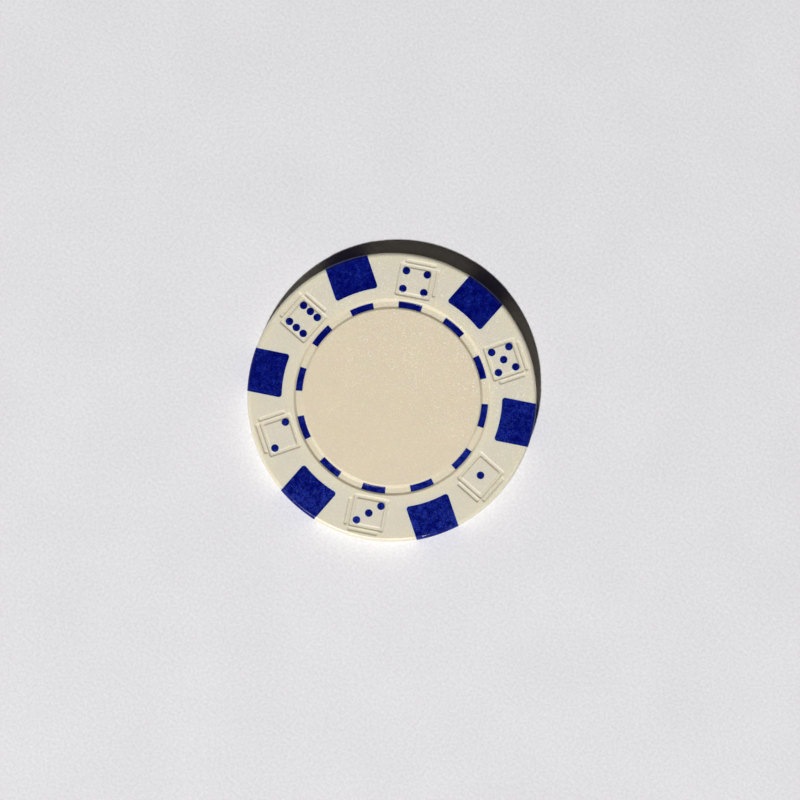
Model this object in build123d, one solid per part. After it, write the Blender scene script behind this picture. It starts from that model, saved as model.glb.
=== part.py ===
from build123d import *
from math import radians, tan
import os

# A dealer button in the form of a two-colour moulded chip with a steel slug
# inside. The origin is the centre of the underside, +Z is up through the
# chip and +X runs through the centre of the die that shows one pip on top.
# Inside this script every piece is built about the chip's mid-plane and
# lifted by half the thickness when it is written. Millimetres.

# Whole chip
CHIP_DIAMETER = 39.2
CHIP_THICKNESS = 3.3
EDGE_ROUNDING = 0.5
SPOT_PROUD = 0.04
WALL_DRAFT = 50.0

# Annular channel round the plain centre
CHANNEL_INNER_RADIUS = 12.11
CHANNEL_OUTER_RADIUS = 13.13
CHANNEL_DEPTH = 0.28
CHANNEL_EDGE_ROUNDING = 0.15

# Ring of dashes along the channel
DASH_COUNT = 12
DASH_ANGLE = 14.45
DASH_INNER_RADIUS = 12.15
DASH_OUTER_RADIUS = 13.04
DASH_FOOT_RADIUS = 14.0
DASH_FOOT_THICKNESS = 0.22

# Steel slug and the ring that carries it
SLUG_DIAMETER = 26.6
SLUG_THICKNESS = 1.94
CARRIER_OUTER_RADIUS = 18.0

# Edge spots
SPOT_COUNT = 6
SPOT_WIDTH = 5.95
SPOT_INNER_RADIUS = 14.9
SPOT_CORNER_RADIUS = 0.4

# Dice between the spots, counter-clockwise from +X on the top face
DIE_VALUES = (1, 5, 4, 6, 2, 3)
DIE_RADIUS = 15.94
PIP_DIAMETER = 1.03
PIP_PITCH_ACROSS = 1.44
PIP_PITCH_OUTWARD = 1.23

# Engraved outline of a die: a square ring, and two strips beside it that
# stand for the die's outer and clockwise faces. Sizes in plan are at mid-depth.
# The lip is the flatter, eased edge where a groove's wall meets the face.
GROOVE_DEPTH = 0.175
GROOVE_WIDTH = 0.43
LIP_DEPTH = 0.02
LIP_DRAFT = 70.0
FRAME_WIDTH = 4.74
FRAME_HEIGHT = 4.34
FRAME_CORNER_RADIUS = 0.24
STRIP_CORNER_RADIUS = 0.16
OUTER_STRIP_LEFT = -1.84
OUTER_STRIP_RIGHT = 2.36
OUTER_STRIP_BOTTOM = 2.35
OUTER_STRIP_TOP = 2.77
OUTER_STRIP_SLANT = 0.24
SIDE_STRIP_LEFT = 2.62
SIDE_STRIP_RIGHT = 3.02
SIDE_STRIP_BOTTOM = -1.52
SIDE_STRIP_TOP = 2.08

# Worked-out values
FULL_TURN = 360.0
RIGHT_ANGLE = 90.0
HALF_THICKNESS = CHIP_THICKNESS / 2
HALF_SLUG = SLUG_THICKNESS / 2
CHANNEL_FLOOR = HALF_THICKNESS - CHANNEL_DEPTH
SLUG_RADIUS = SLUG_DIAMETER / 2
SPOT_RADIUS = CHIP_DIAMETER / 2
BODY_RADIUS = SPOT_RADIUS - SPOT_PROUD
DIE_PITCH = FULL_TURN / len(DIE_VALUES)
SPOT_PITCH = FULL_TURN / SPOT_COUNT
DASH_PITCH = FULL_TURN / DASH_COUNT

# How far the channel's drafted walls lean in plan from mid-depth to either end
CHANNEL_LEAN = tan(radians(WALL_DRAFT)) * CHANNEL_DEPTH / 2

# Columns run clockwise and rows run outward, both in pip pitches
PIP_PLACES = {
    1: ((0, 0),),
    2: ((-1, 1), (1, -1)),
    3: ((-1, -1), (0, 0), (1, 1)),
    4: ((-1, -1), (-1, 1), (1, -1), (1, 1)),
    5: ((-1, -1), (-1, 1), (0, 0), (1, -1), (1, 1)),
    6: ((-1, -1), (-1, 0), (-1, 1), (1, -1), (1, 0), (1, 1)),
}


def turned(piece, angle):
    """Turn a piece that was drawn pointing along +Y so that it points along angle."""
    return Rot(0, 0, angle - RIGHT_ANGLE) * piece


def underside(piece):
    """The same feature on the underside: the chip turned over about X."""
    return Rot(2 * RIGHT_ANGLE, 0, 0) * piece


def ring(inner_radius, outer_radius, bottom, top):
    """A plain ring between two radii and two heights."""
    section = Circle(outer_radius) - Circle(inner_radius)
    return Pos(0, 0, bottom) * extrude(section, top - bottom)


def chip_blank(radius):
    """The whole chip's outline as a solid, rounded at both rims."""
    corners = [
        (0, -HALF_THICKNESS),
        (radius, -HALF_THICKNESS),
        (radius, HALF_THICKNESS),
        (0, HALF_THICKNESS),
    ]
    section = make_face(Polyline(*corners, close=True))
    section = fillet(section.vertices().group_by(Axis.X)[-1], EDGE_ROUNDING)
    return revolve(Plane.XZ * section, Axis.Z)


def channel_cutter():
    """The annular channel on the top face, with drafted walls and rounded lips."""
    above = HALF_THICKNESS + CHANNEL_DEPTH
    inner_floor = CHANNEL_INNER_RADIUS + CHANNEL_LEAN
    outer_floor = CHANNEL_OUTER_RADIUS - CHANNEL_LEAN
    inner_lip = CHANNEL_INNER_RADIUS - CHANNEL_LEAN
    outer_lip = CHANNEL_OUTER_RADIUS + CHANNEL_LEAN
    corners = [
        (inner_floor, CHANNEL_FLOOR),
        (outer_floor, CHANNEL_FLOOR),
        (outer_lip, HALF_THICKNESS),
        (outer_lip + CHANNEL_DEPTH, HALF_THICKNESS),
        (outer_lip + CHANNEL_DEPTH, above),
        (inner_lip - CHANNEL_DEPTH, above),
        (inner_lip - CHANNEL_DEPTH, HALF_THICKNESS),
        (inner_lip, HALF_THICKNESS),
    ]
    section = make_face(Polyline(*corners, close=True))
    at_face = section.vertices().filter_by_position(Axis.Y, HALF_THICKNESS, HALF_THICKNESS)
    lips = at_face.sort_by(Axis.X)[1:3]
    at_floor = section.vertices().group_by(Axis.Y)[0]
    section = fillet(lips + at_floor, CHANNEL_EDGE_ROUNDING)
    return revolve(Plane.XZ * section, Axis.Z)


def walled(outline, sign):
    """A solid on an outline drawn at a groove's mid-depth, drafted and then flatter at the lip.

    It widens upward where sign is 1 and narrows upward where sign is -1.
    """
    half_depth = GROOVE_DEPTH / 2
    middle = Pos(0, 0, HALF_THICKNESS - half_depth) * outline
    lower = extrude(middle, -half_depth, taper=sign * WALL_DRAFT)
    upper = extrude(middle, half_depth - LIP_DEPTH, taper=-sign * WALL_DRAFT)
    lip = extrude(upper.faces().sort_by(Axis.Z)[-1], 2 * LIP_DEPTH, taper=-sign * LIP_DRAFT)
    return lower + upper + lip


def rounded_outline(corners, radius):
    """A flat outline through the given corners, with every corner rounded."""
    outline = make_face(Polyline(*corners, close=True))
    return fillet(outline.vertices(), radius)


def frame_groove():
    """The square ring engraved round the pips."""
    outer = RectangleRounded(FRAME_WIDTH, FRAME_HEIGHT, FRAME_CORNER_RADIUS)
    land_width = FRAME_WIDTH - 2 * GROOVE_WIDTH
    land_height = FRAME_HEIGHT - 2 * GROOVE_WIDTH
    inner = RectangleRounded(land_width, land_height, FRAME_CORNER_RADIUS)
    return walled(outer, 1) - walled(inner, -1)


def outer_strip():
    """The strip beyond the frame, nearest the rim, with one slanted end."""
    corners = [
        (OUTER_STRIP_LEFT, OUTER_STRIP_BOTTOM),
        (OUTER_STRIP_RIGHT, OUTER_STRIP_BOTTOM),
        (OUTER_STRIP_RIGHT, OUTER_STRIP_TOP),
        (OUTER_STRIP_LEFT + OUTER_STRIP_SLANT, OUTER_STRIP_TOP),
    ]
    return walled(rounded_outline(corners, STRIP_CORNER_RADIUS), 1)


def side_strip():
    """The strip along the clockwise side of the frame."""
    corners = [
        (SIDE_STRIP_LEFT, SIDE_STRIP_BOTTOM),
        (SIDE_STRIP_RIGHT, SIDE_STRIP_BOTTOM),
        (SIDE_STRIP_RIGHT, SIDE_STRIP_TOP),
        (SIDE_STRIP_LEFT, SIDE_STRIP_TOP),
    ]
    return walled(rounded_outline(corners, STRIP_CORNER_RADIUS), 1)


def die_grooves():
    """Everything engraved for one die, at its radius and pointing along +Y."""
    grooves = frame_groove() + outer_strip() + side_strip()
    return Pos(0, DIE_RADIUS, 0) * grooves


def face_cutters():
    """The channel and the six engraved dice of the top face."""
    cutters = [channel_cutter()]
    for index in range(len(DIE_VALUES)):
        cutters.append(turned(die_grooves(), index * DIE_PITCH))
    return cutters


def steel_slug():
    """The weight in the middle of the chip."""
    return Cylinder(SLUG_RADIUS, SLUG_THICKNESS)


def edge_spot(blank, angle):
    """One block of the second colour, from an inner arc out to the rim."""
    block = Pos(0, SPOT_RADIUS) * Rectangle(SPOT_WIDTH, SPOT_RADIUS)
    block -= Circle(SPOT_INNER_RADIUS)
    inner_corners = block.vertices().filter_by_position(Axis.Y, 0, SPOT_INNER_RADIUS)
    block = fillet(inner_corners, SPOT_CORNER_RADIUS)
    prism = Pos(0, 0, -HALF_THICKNESS) * extrude(block, CHIP_THICKNESS)
    return turned(prism, angle) & blank


def carrier_ring(spots):
    """The ring round the slug, with a pocket in its rim for each spot."""
    plain = ring(SLUG_RADIUS, CARRIER_OUTER_RADIUS, -HALF_SLUG, HALF_SLUG)
    return plain.cut(*spots)


def dash(angle):
    """One dash with its foot, which lies over the slug's edge and the carrier."""
    foot_top = HALF_SLUG + DASH_FOOT_THICKNESS
    corners = [
        (DASH_INNER_RADIUS, HALF_SLUG),
        (DASH_FOOT_RADIUS, HALF_SLUG),
        (DASH_FOOT_RADIUS, foot_top),
        (DASH_OUTER_RADIUS, foot_top),
        (DASH_OUTER_RADIUS, HALF_THICKNESS),
        (DASH_INNER_RADIUS, HALF_THICKNESS),
    ]
    section = make_face(Polyline(*corners, close=True))
    sector = revolve(Plane.XZ * section, Axis.Z, revolution_arc=DASH_ANGLE)
    return Rot(0, 0, angle - DASH_ANGLE / 2) * sector.cut(channel_cutter())


def die_pips(value):
    """The pips of one die as separate posts on the carrier, pointing along +Y."""
    height = HALF_THICKNESS - HALF_SLUG
    post = Pos(0, 0, HALF_SLUG) * extrude(Circle(PIP_DIAMETER / 2), height)
    grooves = die_grooves()
    pips = []
    for column, row in PIP_PLACES[value]:
        across = column * PIP_PITCH_ACROSS
        outward = DIE_RADIUS + row * PIP_PITCH_OUTWARD
        pips.append((Pos(across, outward, 0) * post).cut(grooves))
    return pips


def build():
    """Every piece by its name, as a list of separate solids."""
    blank = chip_blank(SPOT_RADIUS)
    spots = [edge_spot(blank, (i + 0.5) * SPOT_PITCH) for i in range(SPOT_COUNT)]
    pieces = {"steel_slug": [steel_slug()]}
    pieces["carrier_ring"] = [carrier_ring(spots)]
    for index, spot in enumerate(spots):
        pieces[f"edge_spot_{index + 1}"] = [spot]
    for index in range(DASH_COUNT):
        top_dash = dash(index * DASH_PITCH)
        pieces[f"ring_dash_top_{index + 1:02d}"] = [top_dash]
        pieces[f"ring_dash_bottom_{index + 1:02d}"] = [underside(top_dash)]
    for index, value in enumerate(DIE_VALUES):
        top_pips = [turned(pip, index * DIE_PITCH) for pip in die_pips(value)]
        pieces[f"die_{value}_pips_top"] = top_pips
        pieces[f"die_{value}_pips_bottom"] = [underside(pip) for pip in top_pips]
    cutters = face_cutters()
    cutters += [underside(cutter) for cutter in cutters]
    held = [solid for solids in pieces.values() for solid in solids]
    pieces["cream_body"] = [chip_blank(BODY_RADIUS).cut(*cutters, *held)]
    return pieces


def write(pieces):
    """Write each piece to its own STEP file, with the underside at height zero."""
    os.makedirs("parts", exist_ok=True)
    for name, solids in pieces.items():
        lifted = [Pos(0, 0, HALF_THICKNESS) * solid for solid in solids]
        shape = lifted[0] if len(lifted) == 1 else Compound(children=lifted)
        export_step(shape, f"parts/{name}.step")


write(build())
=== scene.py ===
import math

import bpy
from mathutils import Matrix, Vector


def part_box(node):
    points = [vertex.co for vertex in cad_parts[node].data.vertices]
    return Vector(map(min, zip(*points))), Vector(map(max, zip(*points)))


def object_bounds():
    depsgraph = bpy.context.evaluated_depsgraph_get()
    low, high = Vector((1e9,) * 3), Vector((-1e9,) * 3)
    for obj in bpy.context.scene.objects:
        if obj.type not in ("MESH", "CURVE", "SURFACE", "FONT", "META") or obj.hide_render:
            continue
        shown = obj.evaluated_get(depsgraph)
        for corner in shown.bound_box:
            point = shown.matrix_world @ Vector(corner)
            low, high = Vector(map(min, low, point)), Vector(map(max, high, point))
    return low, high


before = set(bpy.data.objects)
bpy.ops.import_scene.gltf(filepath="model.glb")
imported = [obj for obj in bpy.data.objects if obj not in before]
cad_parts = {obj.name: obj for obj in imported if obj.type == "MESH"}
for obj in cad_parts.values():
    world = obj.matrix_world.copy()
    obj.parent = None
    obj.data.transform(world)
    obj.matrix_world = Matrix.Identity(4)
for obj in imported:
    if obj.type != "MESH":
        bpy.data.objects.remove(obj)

# A dealer button: a cream and blue moulded chip, lying on a pale sheet and
# seen from straight above. Metres; +Z is up through the chip, the origin is
# the centre of the underside and +X runs through the die that shows one pip.

MM = 0.001
CAD_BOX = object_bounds()
LOWEST, HIGHEST = CAD_BOX
CHIP_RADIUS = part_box("cream_body")[1].x
THICKNESS = HIGHEST.z - LOWEST.z
MID_HEIGHT = (LOWEST.z + HIGHEST.z) / 2

# View: straight down, turned about the line of sight
CAMERA_HEIGHT = 0.42
CAMERA_ROLL = math.radians(41.34)
VIEW_WIDTH = 108.1 * MM
VIEW_RIGHT = 1.094 * MM
VIEW_UP = -0.355 * MM
SENSOR_WIDTH = 36.0

# Light: one key that comes from the lower side of the view, and a dim, warm surround
KEY_AZIMUTH = math.radians(289.8)
KEY_ELEVATION = math.radians(54.5)
KEY_DISTANCE = 4.0
KEY_SIZE = 0.20
KEY_POWER = 168.0
KEY_COLOUR = (1.0, 0.99, 0.98)
SURROUND_COLOUR = (1.0, 0.76, 0.68)
SURROUND_STRENGTH = 0.014

# What is seen past the far edge of the floor; it casts no light
BACKDROP_COLOUR = (0.55, 0.55, 0.57)

FLOOR_HALF = 3.0

# Cream by distance from the axis: the outer band is a little cooler than the
# centre, perhaps because the blue ring shows faintly through its thin skin
CREAM_BY_RADIUS = (
    (11.4 * MM, (0.825, 0.727, 0.552)),
    (12.1 * MM, (0.800, 0.722, 0.552)),
    (13.1 * MM, (0.800, 0.722, 0.552)),
    (13.4 * MM, (0.835, 0.775, 0.610)),
    (15.0 * MM, (0.785, 0.740, 0.613)),
    (17.4 * MM, (0.785, 0.740, 0.613)),
    (18.8 * MM, (0.800, 0.755, 0.595)),
)
# Where the band of dice fades in and out again, by distance from the axis
DICE_BAND = (13.4 * MM, 13.7 * MM, 18.9 * MM, 18.75 * MM)
# Towards these angles about +Z the painted glints, with the fine grain under them, and the haze grow denser
GLINT_AND_GRAIN_DIRECTION = math.radians(95)
HAZE_DIRECTION = math.radians(320)
# The two ways that the scratches run, in radians about +Z
SCRATCH_ANGLES = (0.5, 2.1)
# How far light passes under the cream's surface
GLOW_DEPTH = 0.5 * MM

# Colours of the finishes, as red, green, blue and alpha in linear light
# Painted shade deep in the engraved grooves
CREAM_GROOVE_SHADE = (0.68, 0.62, 0.48, 1)
# Painted glints on the cream's grain
CREAM_PAINTED_GLINT = (0.98, 0.95, 0.84, 1)
CREAM_RUBBED = (0.90, 0.86, 0.72, 1)
CREAM_SCUFF = (0.60, 0.55, 0.42, 1)
BLUE_DEEP = (0.0001, 0.0010, 0.122, 1)
BLUE_HAZE = (0.0048, 0.0210, 0.290, 1)
BLUE_SCRATCH = (0.03, 0.06, 0.33, 1)
BLUE_NICK = (0.05, 0.09, 0.38, 1)
BLUE_RUBBED = (0.16, 0.20, 0.45, 1)
BLUE_SCUFF = (0.08, 0.11, 0.36, 1)
STEEL_DARK = (0.35, 0.34, 0.33, 1)
STEEL_LIGHT = (0.5, 0.49, 0.47, 1)
SHEET_DARK = (0.800, 0.800, 0.835, 1)
SHEET_LIGHT = (0.880, 0.880, 0.910, 1)


class Graph:
    """One material's node tree, with short ways to add nodes and join them."""

    def __init__(self, name):
        self.material = bpy.data.materials.new(name)
        self.material.use_nodes = True
        self.tree = self.material.node_tree
        self.shader = self.tree.nodes["Principled BSDF"]
        self.place = self.tree.nodes.new("ShaderNodeTexCoord").outputs["Object"]
        self.x, self.y, self.z = self.parts(self.place)

    def feed(self, socket, source):
        if isinstance(source, bpy.types.NodeSocket):
            self.tree.links.new(source, socket)
        else:
            socket.default_value = source

    def add(self, kind, inputs, output=0, **settings):
        node = self.tree.nodes.new(kind)
        for key, value in settings.items():
            setattr(node, key, value)
        for key, source in inputs.items():
            self.feed(node.inputs[key], source)
        return node.outputs[output]

    def parts(self, vector):
        node = self.tree.nodes.new("ShaderNodeSeparateXYZ")
        self.feed(node.inputs[0], vector)
        return node.outputs[0], node.outputs[1], node.outputs[2]

    def math(self, operation, *inputs):
        return self.add("ShaderNodeMath", dict(enumerate(inputs)), operation=operation)

    def step(self, value, low, high):
        """0 below low, 1 above high, and smooth between; falls instead if low is above high."""
        inputs = {"Value": value, "From Min": low, "From Max": high}
        return self.add("ShaderNodeMapRange", inputs, interpolation_type="SMOOTHSTEP")

    def spread(self, value, low, high):
        """A 0 to 1 value spread over the range from low to high."""
        return self.add("ShaderNodeMapRange", {"Value": value, "To Min": low, "To Max": high})

    def noise(self, size, detail=2.0, roughness=0.5):
        """Noise whose features are about size across, in metres."""
        inputs = {"Vector": self.place, "Scale": 1 / size, "Detail": detail, "Roughness": roughness}
        return self.add("ShaderNodeTexNoise", inputs)

    def mix(self, factor, first, second, blend="MIX"):
        node = self.tree.nodes.new("ShaderNodeMix")
        node.data_type = "RGBA"
        node.blend_type = blend
        for index, source in ((0, factor), (6, first), (7, second)):
            self.feed(node.inputs[index], source)
        return node.outputs[2]

    def bump(self, height, distance, normal=None):
        inputs = {"Height": height, "Distance": distance, "Strength": 1.0}
        if normal:
            inputs["Normal"] = normal
        return self.add("ShaderNodeBump", inputs)

    def ramp(self, value, stops):
        """Colour by value, blended between (value, colour) stops that run upward."""
        first, last = stops[0][0], stops[-1][0]
        node = self.tree.nodes.new("ShaderNodeValToRGB")
        elements = node.color_ramp.elements
        while len(elements) < len(stops):
            elements.new(1.0)
        for element, (place, colour) in zip(elements, stops):
            element.position = (place - first) / (last - first)
            element.color = (*colour, 1)
        inputs = {"Value": value, "From Min": first, "From Max": last}
        self.feed(node.inputs[0], self.add("ShaderNodeMapRange", inputs))
        return node.outputs[0]

    def radius(self):
        """Distance from the chip's axis."""
        across = self.math("MULTIPLY", self.x, self.x)
        along = self.math("MULTIPLY", self.y, self.y)
        return self.math("SQRT", self.math("ADD", across, along))

    def towards(self, angle):
        """How far a place lies towards an angle about Z, from 0 at one rim to 1 at the other."""
        across = self.math("MULTIPLY", self.x, math.cos(angle) / CHIP_RADIUS / 2)
        along = self.math("MULTIPLY", self.y, math.sin(angle) / CHIP_RADIUS / 2)
        return self.math("ADD", self.math("ADD", across, along), 0.5)

    def shaded(self, colour, shade):
        """A colour made lighter or darker by a factor."""
        grey = self.add("ShaderNodeCombineXYZ", {0: shade, 1: shade, 2: shade})
        return self.mix(1.0, colour, grey, "MULTIPLY")

    def streaks(self, angle, along, across):
        """Noise drawn out in one direction in the plane of the face, and bent a little."""
        drift = self.add("ShaderNodeTexNoise", {"Vector": self.place, "Scale": 1 / (3 * MM)}, output=1)
        wander = self.add("ShaderNodeVectorMath", {0: drift, "Scale": 1.5 * MM}, operation="SCALE")
        place = self.add("ShaderNodeVectorMath", {0: self.place, 1: wander}, operation="ADD")
        inputs = {"Vector": place, "Rotation": (0, 0, angle)}
        turned = self.add("ShaderNodeMapping", inputs, vector_type="TEXTURE")
        inputs = {"Vector": turned, "Scale": (1 / along, 1 / across, 1 / along)}
        drawn_out = self.add("ShaderNodeMapping", inputs)
        return self.add("ShaderNodeTexNoise", {"Vector": drawn_out, "Scale": 1.0, "Detail": 1.0})

    def depth(self):
        """How far a place lies below the nearer face."""
        height = self.math("ABSOLUTE", self.math("SUBTRACT", self.z, MID_HEIGHT))
        return self.math("SUBTRACT", THICKNESS / 2, height)

    def rim_scuffs(self):
        """Thin marks that run round the side wall, and nothing on the faces."""
        inputs = {"Vector": self.place, "Scale": (1 / (5 * MM), 1 / (5 * MM), 1 / (0.12 * MM))}
        layers = self.add("ShaderNodeMapping", inputs)
        marks = self.add("ShaderNodeTexNoise", {"Vector": layers, "Scale": 1.0, "Detail": 3.0})
        wall = self.step(self.radius(), CHIP_RADIUS - 0.35 * MM, CHIP_RADIUS - 0.1 * MM)
        return self.math("MULTIPLY", wall, self.step(marks, 0.52, 0.72))

    def rim_wear(self):
        """1 along the rounded edges of the rim, where chips rub, broken up by noise."""
        outside = self.step(self.radius(), CHIP_RADIUS - 0.6 * MM, CHIP_RADIUS - 0.25 * MM)
        edge = self.math("MULTIPLY", outside, self.step(self.depth(), 0.55 * MM, 0.2 * MM))
        return self.math("MULTIPLY", edge, self.step(self.noise(0.8 * MM, 4, 0.7), 0.35, 0.65))


def cream_plastic():
    g = Graph("cream_moulded_plastic")
    colour = g.ramp(g.radius(), CREAM_BY_RADIUS)
    mottle = g.spread(g.noise(4 * MM, 3), 0.97, 1.03)
    grain = g.spread(g.noise(0.2 * MM, 2, 0.6), 0.90, 1.10)
    colour = g.shaded(colour, g.math("MULTIPLY", mottle, grain))
    # Painted shade: the colour darkens deep in the engraved dice, in patches
    beyond_channel = g.step(g.radius(), *DICE_BAND[:2])
    within_rim = g.step(g.radius(), *DICE_BAND[2:])
    engraved = g.math("MULTIPLY", beyond_channel, within_rim)
    groove_shade = g.math("MULTIPLY", engraved, g.step(g.depth(), 0.04 * MM, 0.14 * MM))
    groove_shade = g.math("MULTIPLY", groove_shade, g.spread(g.noise(1.0 * MM, 3), 0.1, 0.6))
    colour = g.mix(groove_shade, colour, CREAM_GROOVE_SHADE)
    # Painted glints: bright points of colour where the fine moulded grain would catch the light
    lively = g.spread(g.step(g.towards(GLINT_AND_GRAIN_DIRECTION), 0.3, 0.8), 0.25, 1.0)
    gathered = g.spread(g.step(g.noise(3 * MM, 2), 0.35, 0.65), 0.4, 1.2)
    painted_glint = g.step(g.noise(0.2 * MM, 1), 0.60, 0.75)
    painted_glint = g.math("MULTIPLY", painted_glint, g.math("MULTIPLY", lively, gathered))
    colour = g.mix(painted_glint, colour, CREAM_PAINTED_GLINT)
    colour = g.mix(g.math("MULTIPLY", g.rim_wear(), 0.35), colour, CREAM_RUBBED)
    scuffs = g.rim_scuffs()
    colour = g.mix(g.math("MULTIPLY", scuffs, 0.3), colour, CREAM_SCUFF)
    g.feed(g.shader.inputs["Base Color"], colour)
    roughness = g.spread(g.noise(0.5 * MM), 0.32, 0.48)
    polish = g.math("MULTIPLY", g.rim_wear(), 0.1)
    g.feed(g.shader.inputs["Roughness"], g.math("SUBTRACT", roughness, polish))
    coarse = g.bump(g.noise(1.2 * MM, 2), 0.008 * MM)
    coarse = g.bump(scuffs, -0.006 * MM, normal=coarse)
    fine = g.math("MULTIPLY", g.noise(0.18 * MM, 3, 0.6), lively)
    g.feed(g.shader.inputs["Normal"], g.bump(fine, 0.05 * MM, normal=coarse))
    g.shader.inputs["Subsurface Weight"].default_value = 0.5
    g.shader.inputs["Subsurface Radius"].default_value = (1.0, 0.62, 0.3)
    g.shader.inputs["Subsurface Scale"].default_value = GLOW_DEPTH
    return g.material


def blue_plastic():
    g = Graph("blue_moulded_plastic")
    worn = g.spread(g.step(g.towards(HAZE_DIRECTION), 0.2, 1.0), 0.6, 1.4)
    cloud = g.step(g.noise(0.9 * MM, 6, 0.82), 0.36, 0.72)
    broad = g.spread(g.noise(2.8 * MM, 2), 0.0, 2.0)
    grain = g.spread(g.step(g.noise(0.12 * MM, 2, 0.7), 0.3, 0.7), 0.1, 1.9)
    haze = g.math("MULTIPLY", g.math("MULTIPLY", cloud, broad), g.math("MULTIPLY", grain, worn))
    colour = g.mix(haze, BLUE_DEEP, BLUE_HAZE)
    colour = g.shaded(colour, g.spread(g.step(g.noise(0.18 * MM, 3, 0.7), 0.34, 0.66), 0.42, 1.60))
    # Fine scratches in two directions, only where the face has gone hazy
    for angle in SCRATCH_ANGLES:
        marks = g.step(g.streaks(angle, 1.1 * MM, 0.11 * MM), 0.62, 0.78)
        faint = g.math("MULTIPLY", g.math("MULTIPLY", marks, cloud), 0.4)
        colour = g.mix(faint, colour, BLUE_SCRATCH)
    # Dust and pale nicks
    nicks = g.step(g.noise(0.16 * MM, 2, 0.7), 0.63, 0.77)
    nicks = g.math("MULTIPLY", nicks, g.math("MULTIPLY", broad, worn))
    colour = g.mix(nicks, colour, BLUE_NICK)
    colour = g.mix(g.math("MULTIPLY", g.rim_wear(), 0.04), colour, BLUE_RUBBED)
    scuffs = g.rim_scuffs()
    colour = g.mix(g.math("MULTIPLY", scuffs, 0.15), colour, BLUE_SCUFF)
    g.feed(g.shader.inputs["Base Color"], colour)
    g.feed(g.shader.inputs["Roughness"], g.spread(haze, 0.17, 0.36))
    fine = g.bump(g.noise(0.2 * MM, 3, 0.6), 0.012 * MM)
    g.feed(g.shader.inputs["Normal"], g.bump(scuffs, -0.006 * MM, normal=fine))
    g.shader.inputs["Specular IOR Level"].default_value = 0.25
    return g.material


def slug_steel():
    g = Graph("blanked_steel")
    rolled = g.streaks(0.0, 6 * MM, 0.12 * MM)
    tone = g.mix(g.noise(2 * MM, 4), STEEL_DARK, STEEL_LIGHT)
    g.feed(g.shader.inputs["Base Color"], g.shaded(tone, g.spread(rolled, 0.85, 1.15)))
    g.feed(g.shader.inputs["Roughness"], g.spread(g.noise(0.4 * MM), 0.3, 0.5))
    g.feed(g.shader.inputs["Normal"], g.bump(rolled, 0.01 * MM))
    g.shader.inputs["Metallic"].default_value = 1.0
    return g.material


def sheet_paper():
    g = Graph("pale_sheet")
    tone = g.mix(g.noise(12 * MM, 3), SHEET_DARK, SHEET_LIGHT)
    fibres = g.noise(0.4 * MM, 4, 0.7)
    tone = g.shaded(tone, g.spread(fibres, 0.77, 1.23))
    g.feed(g.shader.inputs["Base Color"], tone)
    g.feed(g.shader.inputs["Roughness"], g.spread(g.noise(1.5 * MM), 0.72, 0.88))
    g.feed(g.shader.inputs["Normal"], g.bump(fibres, 0.02 * MM))
    return g.material


def dress_nodes():
    """Give every CAD node its finished material, by the material slot it came with."""
    finishes = {"cream_plastic": cream_plastic(), "blue_plastic": blue_plastic(), "slug_steel": slug_steel()}
    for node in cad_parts.values():
        for holder in node.material_slots:
            holder.material = finishes[holder.material.name]


def make_floor():
    mesh = bpy.data.meshes.new("floor")
    corners = [(-1, -1), (1, -1), (1, 1), (-1, 1)]
    mesh.from_pydata([(x * FLOOR_HALF, y * FLOOR_HALF, LOWEST.z) for x, y in corners], [], [(0, 1, 2, 3)])
    floor = bpy.data.objects.new("floor", mesh)
    bpy.context.scene.collection.objects.link(floor)
    mesh.materials.append(sheet_paper())


def make_camera():
    data = bpy.data.cameras.new("camera")
    data.sensor_width = SENSOR_WIDTH
    data.lens = SENSOR_WIDTH * CAMERA_HEIGHT / VIEW_WIDTH
    data.clip_start = CAMERA_HEIGHT / 10
    camera = bpy.data.objects.new("camera", data)
    right = Vector((math.cos(CAMERA_ROLL), math.sin(CAMERA_ROLL), 0))
    up = Vector((-math.sin(CAMERA_ROLL), math.cos(CAMERA_ROLL), 0))
    camera.location = right * VIEW_RIGHT + up * VIEW_UP + Vector((0, 0, HIGHEST.z + CAMERA_HEIGHT))
    camera.rotation_euler = (0, 0, CAMERA_ROLL)
    bpy.context.scene.collection.objects.link(camera)
    bpy.context.scene.camera = camera


def make_lights():
    towards = Vector((math.cos(KEY_AZIMUTH) * math.cos(KEY_ELEVATION),
                      math.sin(KEY_AZIMUTH) * math.cos(KEY_ELEVATION),
                      math.sin(KEY_ELEVATION)))
    data = bpy.data.lights.new("key", "AREA")
    data.shape = "DISK"
    data.size = KEY_SIZE
    data.energy = KEY_POWER
    data.color = KEY_COLOUR
    key = bpy.data.objects.new("key", data)
    key.location = towards * KEY_DISTANCE
    key.rotation_euler = towards.to_track_quat("Z", "Y").to_euler()
    bpy.context.scene.collection.objects.link(key)
    world = bpy.data.worlds.new("surround")
    world.use_nodes = True
    tree = world.node_tree
    surround = tree.nodes["Background"]
    surround.inputs["Color"].default_value = (*SURROUND_COLOUR, 1)
    surround.inputs["Strength"].default_value = SURROUND_STRENGTH
    backdrop = tree.nodes.new("ShaderNodeBackground")
    backdrop.inputs["Color"].default_value = (*BACKDROP_COLOUR, 1)
    choice = tree.nodes.new("ShaderNodeMixShader")
    seen = tree.nodes.new("ShaderNodeLightPath").outputs["Is Camera Ray"]
    tree.links.new(seen, choice.inputs[0])
    tree.links.new(surround.outputs[0], choice.inputs[1])
    tree.links.new(backdrop.outputs[0], choice.inputs[2])
    tree.links.new(choice.outputs[0], tree.nodes["World Output"].inputs["Surface"])
    bpy.context.scene.world = world


bpy.context.scene.view_settings.view_transform = "Standard"
dress_nodes()
make_floor()
make_camera()
make_lights()
